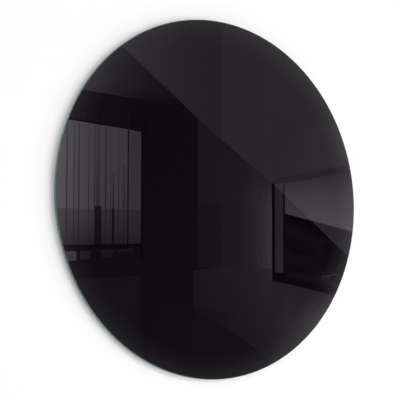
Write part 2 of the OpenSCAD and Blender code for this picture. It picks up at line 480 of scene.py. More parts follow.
def strapShape(screw, back):
    # a strip whose middle is pressed back towards the wall, then given its thickness
    half = plate["windowHalf"]
    slotHalf = half + plate["joggle"]
    reach = slotHalf + plate["root"]
    thick = plate["thickness"]
    route = [(-reach, back), (-slotHalf, back), (-half, back - plate["joggle"])]
    route += [(-x, depth) for x, depth in reversed(route)]
    bm = bmesh.new()
    verts = [bm.verts.new((screw.x + x, -depth, screw.z + plate["strapLow"])) for x, depth in route]
    edges = [bm.edges.new(pair) for pair in zip(verts, verts[1:])]
    strip = bmesh.ops.extrude_edge_only(bm, edges=edges)["geom"]
    raised = [v for v in strip if isinstance(v, bmesh.types.BMVert)]
    bmesh.ops.translate(bm, vec=(0, 0, plate["strapHeight"]), verts=raised)
    bmesh.ops.recalc_face_normals(bm, faces=bm.faces)
    lift = bmesh.ops.extrude_face_region(bm, geom=bm.faces[:])["geom"]
    front = [v for v in lift if isinstance(v, bmesh.types.BMVert)]
    bmesh.ops.translate(bm, vec=(0, -thick, 0), verts=front)
    bmesh.ops.recalc_face_normals(bm, faces=bm.faces)
    height = 0.9 * plate["strapHeight"]

    def atBend(edge):
        span = edge.verts[0].co - edge.verts[1].co
        return abs(span.z) > height and abs(abs(edge.verts[0].co.x - screw.x) - reach) > 1e-4

    roundEdges(bm, plate["bendRadius"], 4, atBend)
    return bm


def makeHangerPlate(side, steel, foam):
    screw = screwAxis(side)
    name = "hanger_plate_" + side
    low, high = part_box(name)
    front = -low.y
    back = front - plate["thickness"]
    sheetLow = Vector((low.x, -front, low.z))
    sheetHigh = Vector((high.x, -back, high.z))
    bm = roundedPlate(sheetLow, sheetHigh, plate["corner"])
    for tool in plateTools(screw, front):
        bm = carve(bm, tool)
    roundEdges(bm, plate["softEdge"], 3, sharperThan(50))
    strap = strapShape(screw, back)
    roundEdges(strap, plate["softEdge"], 3, sharperThan(50))
    bm = join(bm, strap)
    makePiece(bm, "hangerPlate_" + side, "mirror", [steel], [name])

    tape = "plate_tape_" + side
    bm = roundedPlate(*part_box(tape), plate["corner"])
    for tool in plateTools(screw, depths(tape)[1]):
        bm = carve(bm, tool)
    roundEdges(bm, plate["softEdge"], 3, sharperThan(50))
    makePiece(bm, "plateTape_" + side, "mirror", [foam], [tape])


sheetSteel = zincFinish("zincSheet", plate["steelColor"], plate["steelShade"], 60, (0.28, 0.42),
                        0.75)
whiteFoam = foamFinish("whiteFoam", plate["tapeColor"], plate["tapeShade"])
for side in sides:
    makeHangerPlate(side, sheetSteel, whiteFoam)
print("hanger plates and tape")

# spacers

spacer = {
    "rounding": 1.2 * mm,
    "dish": 0.5 * mm,          # hollow in the face that meets the wall
    "rimWidth": 2.6 * mm,
    "dishSlope": 1.5 * mm,
    "skirt": 0.35 * mm,        # flare where the rubber meets its tape
    "skirtStart": 1.6 * mm,
    "skirtEnd": 0.7 * mm,
    "tapeRim": 0.5 * mm,
    "steps": 128,
    "rubber": (0.018, 0.018, 0.019),
    "dust": (0.05, 0.05, 0.05),
}


def rubberFinish():
    finish, tree, shader = newFinish("blackRubber")
    vector = place(tree)
    cloud = noise(tree, vector, 120.0)
    grain = noise(tree, vector, 2200.0, 2.0)
    tree.links.new(blendColors(tree, spread(tree, cloud, 0, 1, 0.45, 0.75), spacer["rubber"],
                               spacer["dust"]), shader.inputs["Base Color"])
    tree.links.new(spread(tree, cloud, 0.48, 0.66), shader.inputs["Roughness"])
    emboss(tree, shader, grain, 0.3, 0.05 * mm)
    return finish


def makeSpacer(side, rubber, foam):
    name = "spacer_" + side
    back, front = depths(name)
    radius = halfSize(name).x
    corner = spacer["rounding"]
    inner = radius - corner - spacer["rimWidth"]
    waist = radius - spacer["skirt"]
    hollow = back + spacer["dish"]
    outline = [(0, hollow), (inner - spacer["dishSlope"], hollow)]
    outline += [(inner, back + 0.06 * mm), (inner + 0.4 * mm, back)]
    outline += arc(waist - corner, back + corner, corner, -90, 0)
    outline += [(waist, front - spacer["skirtStart"]), (radius, front - spacer["skirtEnd"])]
    outline += [(radius, front), (0, front)]
    bm = turned(outline, middle(name), spacer["steps"])
    makePiece(bm, "spacer_" + side, "mirror", [rubber], [name])

    tape = "spacer_tape_" + side
    back, front = depths(tape)
    radius = halfSize(tape).x
    half = (front - back) / 2
    rimFlat = radius - spacer["tapeRim"]
    outline = [(0, back), (rimFlat, back)]
    outline += arc(radius - half, back + half, half, -70, 70)
    outline += [(rimFlat, front), (0, front)]
    bm = turned(outline, middle(tape), spacer["steps"])
    makePiece(bm, "spacerTape_" + side, "mirror", [foam], [tape])


blackRubber = rubberFinish()
for side in sides:
    makeSpacer(side, blackRubber, whiteFoam)
print("spacers")

# eccentric hooks

hook = {
    "offset": 4 * mm,          # from the screw to the middle of the flanges
    "rearFlange": 2.5 * mm,
    "groove": 2.5 * mm,
    "grooveRadius": 13 * mm,
    "edge": 0.4 * mm,
    "fillet": 0.45 * mm,
    "bore": 2.3 * mm,
    "recess": 6.5 * mm,
    "recessFloor": 2.5 * mm,
    "relief": 4.5 * mm,
    "reliefDepth": 0.5 * mm,
    "grips": 16,
    "gripDepth": 0.9 * mm,
    "gripShare": 0.42,         # share of the rim that the finger grips take
    "gripStart": 1.5 * mm,     # beyond the groove's bottom
    "flatRim": 2.5 * mm,
    "mouthEase": 0.4 * mm,     # chamfer round the recess
    "arrowHeight": 0.3 * mm,
    "arrowInset": 2.6 * mm,
    "arrowSink": 0.1 * mm,
    "arrowEdge": 0.12 * mm,
    "steps": 256,
    "nylon": (0.72, 0.72, 0.68),
    "nylonShade": (0.62, 0.61, 0.56),
}


def nylonFinish(name, color, shade, rough=(0.4, 0.55)):
    finish, tree, shader = newFinish(name)
    shader.inputs["Subsurface Weight"].default_value = 0.12
    shader.inputs["Subsurface Radius"].default_value = (1.0, 0.95, 0.8)
    shader.inputs["Subsurface Scale"].default_value = 1 * mm
    vector = place(tree)
    cloud = noise(tree, vector, 110.0)
    grain = noise(tree, vector, 3000.0, 2.0)
    tree.links.new(blendColors(tree, spread(tree, cloud, 0, 1), color, shade),
                   shader.inputs["Base Color"])
    tree.links.new(spread(tree, cloud, *rough), shader.inputs["Roughness"])
    emboss(tree, shader, grain, 0.25, 0.03 * mm)
    return finish


def makeHook(side, nylon):
    name = "eccentric_" + side
    screw = screwAxis(side)
    centre = screw + Vector((0, 0, hook["offset"]))
    front = depths(name)[1]
    radius = halfSize(name).x
    edge, fillet = hook["edge"], hook["fillet"]
    groove = hook["grooveRadius"]
    rear = hook["rearFlange"]
    face = rear + hook["groove"]
    outline = [(0, 0), (radius - 2 * edge, 0)]
    outline += arc(radius - edge, edge, edge, -90, 0)
    outline += arc(radius - edge, rear - edge, edge, 0, 90)
    outline += arc(groove + fillet, rear + fillet, fillet, 270, 180)
    outline += arc(groove + fillet, face - fillet, fillet, 180, 90)
    outline += arc(radius - edge, face + edge, edge, -90, 0)
    outline += arc(radius - edge, front - edge, edge, 0, 90)
    outline += [(radius - hook["flatRim"], front), (0, front)]
    bm = turned(outline, centre, hook["steps"])
    gripStart = groove + hook["gripStart"]
    for vert in bm.verts:  # finger grips round the front flange
        arm = Vector((vert.co.x - centre.x, 0, vert.co.z - centre.z))
        if -vert.co.y > face - 1e-6 and arm.length > gripStart:
            phase = math.atan2(arm.z, arm.x) * hook["grips"] / math.tau % 1
            dip = max(0.0, 1 - (abs(phase - 0.5) / hook["gripShare"]) ** 2)
            share = (arm.length - gripStart) / (radius - gripStart)
            vert.co -= arm.normalized() * hook["gripDepth"] * dip * share
    beyond = 2 * mm
    mouth = hook["recess"] + hook["mouthEase"]
    tool = turned([
        (0, -beyond),
        (hook["relief"], -beyond),
        (hook["relief"], hook["reliefDepth"]),
        (hook["bore"], hook["reliefDepth"]),
        (hook["bore"], hook["recessFloor"]),
        (hook["recess"], hook["recessFloor"]),
        (hook["recess"], front - 0.35 * mm),
        (mouth, front + 0.05 * mm),
        (mouth, front + beyond),
        (0, front + beyond),
    ], screw, 96)
    bm = carve(bm, tool)
    arrow = bmesh.new()  # raised arrow that points to the high side
    sink = hook["arrowSink"]
    tip = centre + Vector((0, sink - front, radius - hook["arrowInset"]))
    corners = [(0, 0), (-2.1, -3.2), (0, -2.4), (2.1, -3.2)]
    verts = [arrow.verts.new(tip + Vector((x * mm, 0, z * mm))) for x, z in corners]
    arrowFace = arrow.faces.new(verts)
    up = bmesh.ops.extrude_face_region(arrow, geom=[arrowFace])["geom"]
    bmesh.ops.translate(arrow, vec=(0, -hook["arrowHeight"] - sink, 0),
                        verts=[v for v in up if isinstance(v, bmesh.types.BMVert)])
    bmesh.ops.recalc_face_normals(arrow, faces=arrow.faces)
    roundEdges(arrow, hook["arrowEdge"], 2, sharperThan(40))
    bm = join(bm, arrow)
    makePiece(bm, "eccentric_" + side, "hook_" + side, [nylon], [name])


whiteNylon = nylonFinish("whiteNylon", hook["nylon"], hook["nylonShade"])
for side in sides:
    makeHook(side, whiteNylon)
print("eccentric hooks")

# wall screws and washers

screwShape = {
    "shank": 2.2 * mm,         # plain part under the head
    "plain": 12 * mm,
    "core": 1.55 * mm,
    "crest": 2.25 * mm,
    "pitch": 2.0 * mm,
    "turnSteps": 28,
    "point": 6 * mm,
    "headDome": 7 * mm,
    "crossWidth": 1.1 * mm,
    "crossSpan": 4.8 * mm,
    "crossDepth": 1.7 * mm,
    "crossTaper": 0.72,        # share of its width that the recess keeps at its floor
    "headHeight": 3.1 * mm,
    "headEdge": 0.1 * mm,
    "zinc": (0.62, 0.63, 0.64),
    "zincShade": (0.70, 0.70, 0.68),
    "washerEdge": 0.22 * mm,
    "washerHole": 2.4 * mm,
}


def headShape(screw, seat, radius):
    rise, dome = screwShape["headHeight"], screwShape["headDome"]
    middleOfDome = seat + rise - dome
    rim = middleOfDome + math.sqrt(dome ** 2 - radius ** 2)
    start = math.degrees(math.asin((rim - middleOfDome) / dome))
    outline = [(0, seat), (radius - 0.2 * mm, seat), (radius, seat + 0.2 * mm)]
    outline += arc(0, middleOfDome, dome, start, 89.5, 8) + [(0, seat + rise)]
    bm = turned(outline, screw, 72)
    top = seat + rise
    for across in (False, True):
        span, width = screwShape["crossSpan"] / 2, screwShape["crossWidth"] / 2
        x, z = (width, span) if across else (span, width)
        tool = block(screw + Vector((-x, -top - 1 * mm, -z)),
                     screw + Vector((x, -top + screwShape["crossDepth"], z)))
        floor = [v for v in tool.verts if v.co.y > -top]
        taper = (screwShape["crossTaper"], 1, screwShape["crossTaper"])
        bmesh.ops.scale(tool, vec=taper, verts=floor, space=Matrix.Translation(-screw))
        bm = carve(bm, tool)
    return bm


def threadShape(screw, start, end):
    # one tooth of the thread, screwed along the shank and drawn in towards the point
    pitch, core, crest = (screwShape[key] for key in ("pitch", "core", "crest"))
    bm = bmesh.new()
    tooth = [(core - 0.2 * mm, -0.42 * pitch), (crest, -0.06 * pitch), (crest, 0.0),
             (core - 0.2 * mm, 0.42 * pitch)]
    verts = [bm.verts.new((screw.x + radius, -start - depth, screw.z)) for radius, depth in tooth]
    edges = [bm.edges.new(pair) for pair in zip(verts, verts[1:] + verts[:1])]
    turns = (start - end) / pitch
    steps = int(turns * screwShape["turnSteps"])
    bmesh.ops.spin(bm, geom=verts + edges, cent=screw, axis=(0, 1, 0), angle=math.tau * turns,
                   steps=steps, dvec=(0, (start - end) / steps, 0), use_merge=False)
    bmesh.ops.holes_fill(bm, edges=[e for e in bm.edges if e.is_boundary], sides=4)
    for vert in bm.verts:
        left = -vert.co.y - end
        fade = min(1.0, max(0.02, left / screwShape["point"]))
        arm = Vector((vert.co.x - screw.x, 0, vert.co.z - screw.z))
        vert.co -= arm * (1 - fade)
    bmesh.ops.recalc_face_normals(bm, faces=bm.faces)
    return bm


def makeScrew(side, zinc):
    name = "wall_screw_" + side
    screw = screwAxis(side)
    tip, top = depths(name)
    radius = halfSize(name).x
    seat = top - screwShape["headHeight"]
    bm = headShape(screw, seat, radius)
    roundEdges(bm, screwShape["headEdge"], 2, sharperThan(45))
    threadStart = seat - screwShape["plain"]
    coreEnd = tip + screwShape["point"]
    shank = turned([
        (0, seat + 0.3 * mm),
        (screwShape["shank"], seat + 0.3 * mm),
        (screwShape["shank"], threadStart + 0.5 * mm),
        (screwShape["core"], threadStart),
        (screwShape["core"], coreEnd),
        (0, tip),
    ], screw, 48)
    bm = join(bm, shank)
    bm = join(bm, threadShape(screw, threadStart - 0.6 * mm, tip + 1.0 * mm))
    makePiece(bm, "wallScrew_" + side, "wall_fixings", [zinc], [name], 40)

    washer = "screw_washer_" + side
    back, front = depths(washer)
    radius, hole, edge = halfSize(washer).x, screwShape["washerHole"], screwShape["washerEdge"]
    outline = arc(hole + edge, back + edge, edge, 180, 270)
    outline += arc(radius - edge, back + edge, edge, 270, 360)
    outline += arc(radius - edge, front - edge, edge, 0, 90)
    outline += arc(hole + edge, front - edge, edge, 90, 180)
    outline += [outline[0]]
    bm = turned(outline, screw, 96)
    makePiece(bm, "screwWasher_" + side, "wall_fixings", [zinc], [washer])


brightZinc = zincFinish("brightZinc", screwShape["zinc"], screwShape["zincShade"], 400,
                        (0.18, 0.3), 1.0)
for side in sides:
    makeScrew(side, brightZinc)
print("screws and washers")

# wall plugs

plug = {
    "grooves": 6,
    "grooveDepth": 0.4 * mm,
    "grooveWidth": 1.6 * mm,
    "nose": 4 * mm,
    "bore": 2.3 * mm,
    "slot": 1.2 * mm,
    "mouthRound": 0.3 * mm,
    "nylon": (0.30, 0.32, 0.34),
    "nylonShade": (0.36, 0.38, 0.40),
}


def makePlug(side, nylon):
    name = "wall_plug_" + side
    centre = middle(name)
    tip, mouth = depths(name)
    radius = halfSize(name).x
    nose = tip + plug["nose"]
    pitch = (mouth - nose) / (plug["grooves"] + 1)
    ease = plug["grooveDepth"]
    outline = [(plug["bore"], tip), ((radius + plug["bore"]) / 2, tip), (radius, nose)]
    for i in range(1, plug["grooves"] + 1):
        at, half = nose + i * pitch, plug["grooveWidth"] / 2
        outline += [
            (radius, at - half),
            (radius - ease, at - half + ease / 3),
            (radius - ease, at),
            (radius, at + half),
        ]
    rounding = plug["mouthRound"]
    outline += arc(radius - rounding, mouth - rounding, rounding, 0, 90, 3)
    outline += [(plug["bore"] + 0.3 * mm, mouth), (plug["bore"], mouth - 0.3 * mm)]
    outline += [outline[0]]
    bm = turned(outline, centre, 72)
    half = plug["slot"] / 2
    low = Vector((centre.x - radius - mm, -(mouth - pitch), centre.z - half))
    high = Vector((centre.x + radius + mm, -(nose + pitch), centre.z + half))
    bm = carve(bm, block(low, high))
    makePiece(bm, "wallPlug_" + side, "wall_fixings", [nylon], [name], 40)


greyNylon = nylonFinish("greyNylon", plug["nylon"], plug["nylonShade"])
for side in sides:
    makePlug(side, greyNylon)
print("wall plugs")

# camera

cameraSet = {
    "azimuth": -33.56,         # degrees round the disc, from straight in front
    "elevation": -5.19,
    "distance": 1.832,
    "lens": 100,
    "aimRight": -36.2 * mm,    # from the middle of the disc to the point in the middle of the frame
    "aimUp": -5.5 * mm,
}


def makeCamera():
    data = bpy.data.cameras.new("camera")
    data.lens = cameraSet["lens"]
    camera = bpy.data.objects.new("camera", data)
    scene.collection.objects.link(camera)
    around = math.radians(cameraSet["azimuth"])
    above = math.radians(cameraSet["elevation"])
    back = Vector((math.sin(around) * math.cos(above), -math.cos(around) * math.cos(above),
                   math.sin(above)))
    face = Vector((discCentre.x, -glassFront, discCentre.z))
    target = face + Vector((cameraSet["aimRight"], 0, cameraSet["aimUp"]))
    camera.location = target + back * cameraSet["distance"]
    camera.rotation_euler = back.to_track_quat("Z", "Y").to_euler()
    scene.camera = camera
    return camera, face


camera, faceCentre = makeCamera()
print("camera")

# studio: wall, floor, lamps and air

studio = {
    "wallColor": (0.86, 0.85, 0.86),
    "floorColor": (0.78, 0.78, 0.77),
    "floorGlow": 0.80,         # evens out the floor where it is looked at
    "floorEven": 0.82,         # share of that
    "floorDrop": 0.85,         # below the middle of the disc
    "halfWidth": 6.0,
    "ambient": 0.43,
    "backdrop": 0.93,
    "mirroredDark": 0.16,      # what polished parts see in front of the wall
    "mirroredLight": 0.42,
    "mirroredBehind": 1.0,
    "mirroredFade": 0.4,       # share of that left on the right, for soft highlights
    "sweepGlow": 0.45,         # slanting bands of light that the glass shows from other sides
    "sweepAcross": 1.3,
    "sweepUp": 0.7,
    "sweepStart": -0.035,
}


def oneSided(name, color, even=0.0):  # a surface that is only there when it is seen from its front
    finish = bpy.data.materials.new(name)
    finish.use_nodes = True
    tree = finish.node_tree
    shader = tree.nodes["Principled BSDF"]
    shader.inputs["Base Color"].default_value = (*color, 1)
    shader.inputs["Roughness"].default_value = 0.9
    shader.inputs["Specular IOR Level"].default_value = 0.0
    front = shader.outputs[0]
    if even:  # a steady glow, for the camera only, evens out the lamps' patches
        glow = tree.nodes.new("ShaderNodeEmission")
        glow.inputs["Color"].default_value = (*color, 1)
        glow.inputs["Strength"].default_value = studio["floorGlow"] / color[0]
        rayKind = tree.nodes.new("ShaderNodeLightPath")
        share = combine(tree, rayKind.outputs["Is Camera Ray"], even, "MULTIPLY")
        front = blendShaders(tree, share, front, glow.outputs[0])
    clear = tree.nodes.new("ShaderNodeBsdfTransparent")
    side = tree.nodes.new("ShaderNodeNewGeometry")
    last = blendShaders(tree, side.outputs["Backfacing"], front, clear.outputs[0])
    tree.links.new(last, tree.nodes["Material Output"].inputs["Surface"])
    return finish


def stagePlane(name, matrix, finish):
    bm = bmesh.new()
    bmesh.ops.create_grid(bm, x_segments=1, y_segments=1, size=studio["halfWidth"])
    bmesh.ops.transform(bm, matrix=matrix, verts=bm.verts)
    mesh = bpy.data.meshes.new(name)
    bm.to_mesh(mesh)
    bm.free()
    mesh.materials.append(finish)
    obj = bpy.data.objects.new(name, mesh)
    scene.collection.objects.link(obj)
    return obj


floorHeight = discCentre.z - studio["floorDrop"]
wallPlace = Matrix.Translation((0, 0.05 * mm, floorHeight + studio["halfWidth"]))
wall = stagePlane("stageWall", wallPlace @ Matrix.Rotation(math.radians(90), 4, "X"),
                  oneSided("wallPaint", studio["wallColor"]))
wall.visible_shadow = False
wall.visible_diffuse = False
wall.visible_glossy = False
floor = stagePlane("stageFloor", Matrix.Translation((0, 0, floorHeight)),
                   oneSided("floorPaint", studio["floorColor"], studio["floorEven"]))
floor.visible_glossy = False

# direction from the disc (degrees right and up of straight out), distance, size and watts
lamps = {
    "right": (20, -10, 2.4, 2.4, 32.3),
    "left": (-15, 0, 2.4, 2.4, 31.6),
    "raking": (60, -10, 2.4, 0.5, 4.6),
    "rearLeft": (-150, 22, 2.6, 1.2, 34.0),
    "rearRight": (125, -4, 2.4, 1.2, 15.0),
}


def hangLamp(name, around, above, distance, size, watts):
    data = bpy.data.lights.new(name + "Lamp", "AREA")
    data.shape = "SQUARE"
    data.size = size
    data.energy = watts
    lamp = bpy.data.objects.new(name + "Lamp", data)
    scene.collection.objects.link(lamp)
    a, e = math.radians(around), math.radians(above)
    out = Vector((math.sin(a) * math.cos(e), -math.cos(a) * math.cos(e), math.sin(e)))
    lamp.location = faceCentre + out * distance
    lamp.rotation_euler = out.to_track_quat("Z", "Y").to_euler()
    lamp.visible_camera = False
    lamp.visible_glossy = False


for name, lamp in lamps.items():
    hangLamp(name, *lamp)


def makeWorld():
    world = bpy.data.worlds.new("studioAir")
    world.use_nodes = True
    scene.world = world
    tree = world.node_tree
    coords = tree.nodes.new("ShaderNodeTexCoord")
    split = tree.nodes.new("ShaderNodeSeparateXYZ")
    tree.links.new(coords.outputs["Generated"], split.inputs[0])
    behind = spread(tree, split.outputs["Y"], studio["mirroredDark"], studio["mirroredBehind"],
                    -0.1, 0.3)
    above = spread(tree, split.outputs["Z"], 0.0, studio["mirroredLight"], 0.0, 0.8)
    acrossBehind = spread(tree, split.outputs["X"], 1.0, studio["mirroredFade"], -0.1, 0.8)
    mirrored = combine(tree, combine(tree, behind, acrossBehind, "MULTIPLY"), above, "MAXIMUM")
    across, up, start = (studio[key] for key in ("sweepAcross", "sweepUp", "sweepStart"))
    slant = combine(tree, spread(tree, split.outputs["X"], -1, 1, -across, across),
                    spread(tree, split.outputs["Z"], -1, 1, start - up, start + up))
    sweep = combine(tree, slant, 0.0, "FRACT")
    inFront = spread(tree, split.outputs["Y"], studio["sweepGlow"], 0.0, -0.45, -0.2)
    mirrored = combine(tree, mirrored, combine(tree, sweep, inFront, "MULTIPLY"))
    rayKind = tree.nodes.new("ShaderNodeLightPath")
    shaders = []
    for strength in (mirrored, studio["ambient"], studio["backdrop"]):
        back = tree.nodes.new("ShaderNodeBackground")
        back.inputs["Color"].default_value = (1, 1, 1, 1)
        if isinstance(strength, float):
            back.inputs["Strength"].default_value = strength
        else:
            tree.links.new(strength, back.inputs["Strength"])
        shaders.append(back.outputs[0])
    mirroredAir, litAir, seenAir = shaders
    unseen = blendShaders(tree, rayKind.outputs["Is Glossy Ray"], litAir, mirroredAir)
    air = blendShaders(tree, rayKind.outputs["Is Camera Ray"], unseen, seenAir)
    tree.links.new(air, tree.nodes["World Output"].inputs["Surface"])


makeWorld()
print("wall, floor, lamps and air")

# the room that the glass mirrors

# Glowing cards hang in front of the glass, out of the camera's sight, and only polished parts see
# them. A card is rows of points, lower row first: (right, up, glow), where right and up are the
# place on the disc, in disc radii from its middle, where the card's point shows in the glass.
room = {
    "distance": 2.4,           # of the farthest cards, in front of the glass
    "step": 0.02,              # each layer hangs this much nearer
    "nudge": -0.010,           # of everything to the right, in disc radii
    "tint": (1.0, 0.915, 1.0),
    "dimTint": (1.0, 0.75, 1.0),
    "dimGlow": (0.05, 0.60),   # glows between which one tint turns into the other
    "rippleScale": 3.0,
}
# the long straight edge of the bright reflection that falls across the glass
glossEdge = [(-0.95, 1.025), (-0.593, 0.770), (-0.113, 0.425), (0.03, 0.330), (0.385, 0.107),
             (0.932, -0.288), (1.3, -0.555)]


def alongEdge(glows, first=0):
    return [(u, w, glow) for (u, w), glow in zip(glossEdge[first:], glows)]


def level(points, up):  # the same columns at another height
    return [(u, up, glow) for u, _, glow in points]


